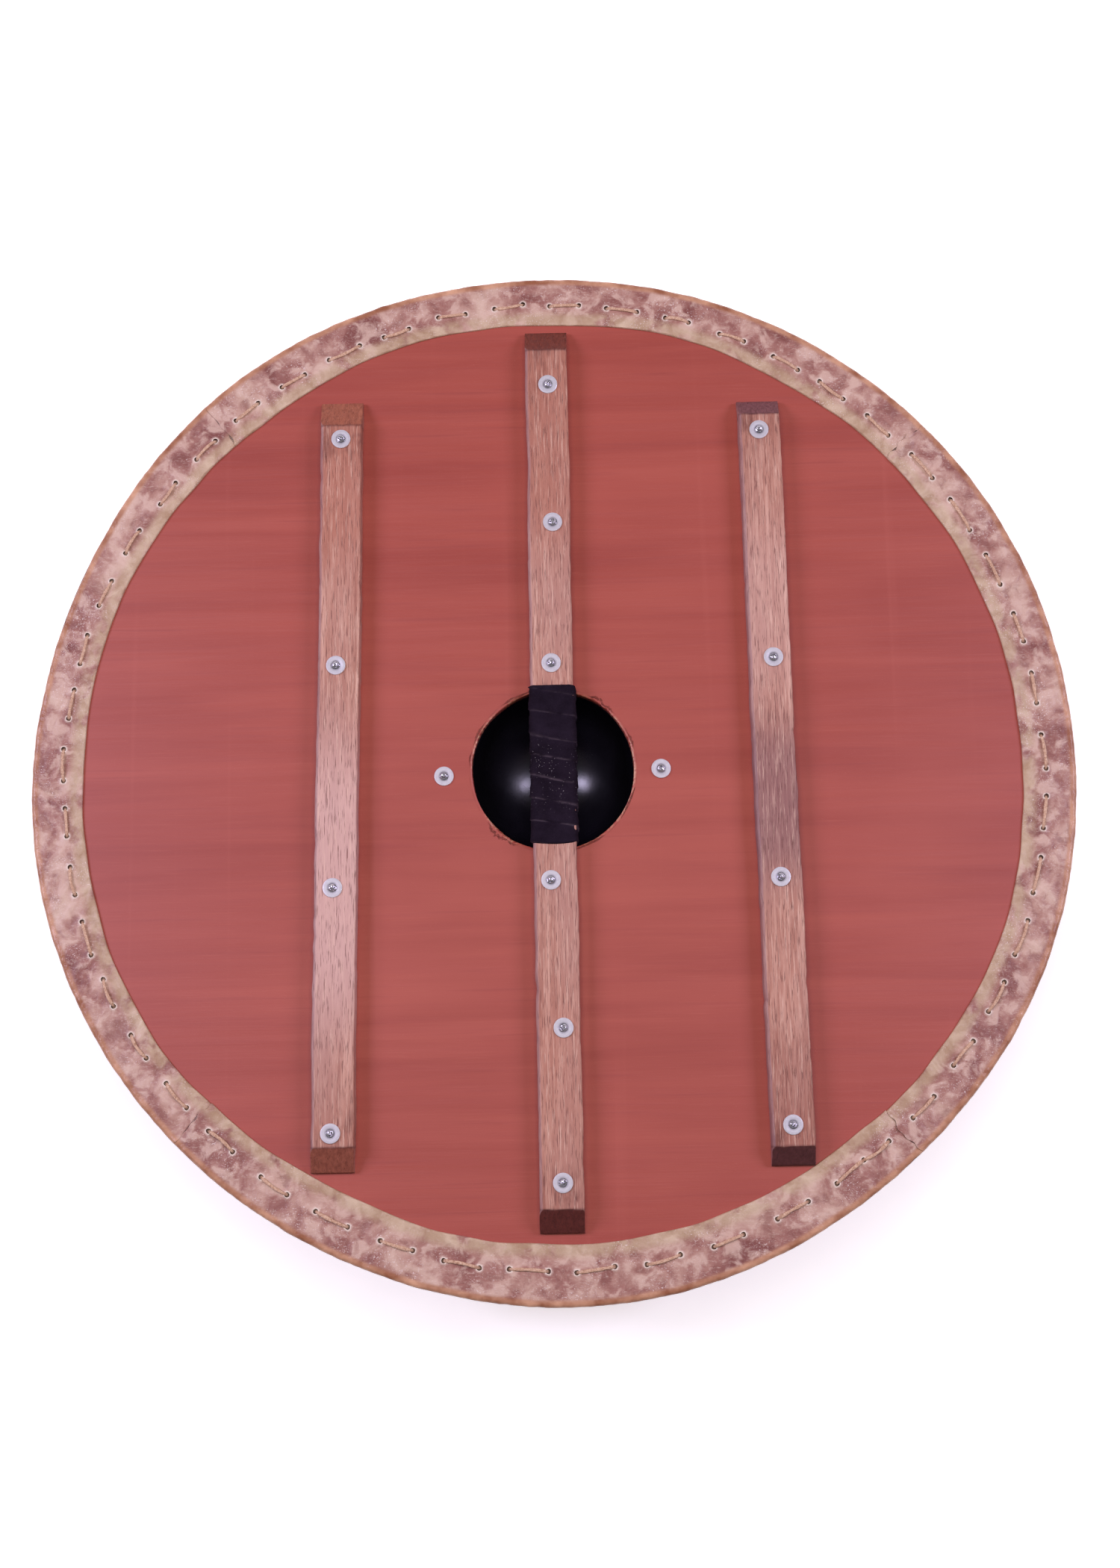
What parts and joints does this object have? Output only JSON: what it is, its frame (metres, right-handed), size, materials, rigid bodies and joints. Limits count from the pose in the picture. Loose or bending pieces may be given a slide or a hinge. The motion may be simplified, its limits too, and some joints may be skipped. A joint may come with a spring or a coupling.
{
  "type": "round shield",
  "caption": "Round wooden shield seen from the back: stained plywood board, laced rawhide edge, riveted battens, wrapped centre grip and hollow steel boss.",
  "frame": {"origin": "on the ground, in the middle of the small flat spot of the boss on which the shield lies", "axes": "+Z up; +Y along the battens towards the end whose rim touches the ground; +X to the right when the back is seen from above with +Y up"},
  "size_m": [0.7994, 0.7877, 0.1585],
  "materials": {
    "stained_plywood": "satin",
    "batten_wood": "matte",
    "rawhide": "satin",
    "lace": "matte",
    "black_suede": "matte",
    "black_steel": "satin",
    "zinc_steel": "satin"
  },
  "bodies": {
    "root": {"board": "stained_plywood", "edge_strip_top": "rawhide", "edge_strip_left": "rawhide", "edge_strip_bottom": "rawhide", "edge_strip_right": "rawhide", "edge_lace": "lace", "batten_left": "batten_wood", "batten_grip": "batten_wood", "batten_right": "batten_wood", "grip_wrap": "black_suede", "boss": "black_steel", "rivet_left_1": "zinc_steel", "rivet_left_2": "zinc_steel", "rivet_left_3": "zinc_steel", "rivet_left_4": "zinc_steel", "rivet_grip_1": "zinc_steel", "rivet_grip_2": "zinc_steel", "rivet_grip_3": "zinc_steel", "rivet_grip_4": "zinc_steel", "rivet_grip_5": "zinc_steel", "rivet_grip_6": "zinc_steel", "rivet_right_1": "zinc_steel", "rivet_right_2": "zinc_steel", "rivet_right_3": "zinc_steel", "rivet_right_4": "zinc_steel", "rivet_boss_left": "zinc_steel", "rivet_boss_right": "zinc_steel", "washer_left_1": "zinc_steel", "washer_left_2": "zinc_steel", "washer_left_3": "zinc_steel", "washer_left_4": "zinc_steel", "washer_grip_1": "zinc_steel", "washer_grip_2": "zinc_steel", "washer_grip_3": "zinc_steel", "washer_grip_4": "zinc_steel", "washer_grip_5": "zinc_steel", "washer_grip_6": "zinc_steel", "washer_right_1": "zinc_steel", "washer_right_2": "zinc_steel", "washer_right_3": "zinc_steel", "washer_right_4": "zinc_steel", "washer_boss_left": "zinc_steel", "washer_boss_right": "zinc_steel"}
  },
  "joints": []
}
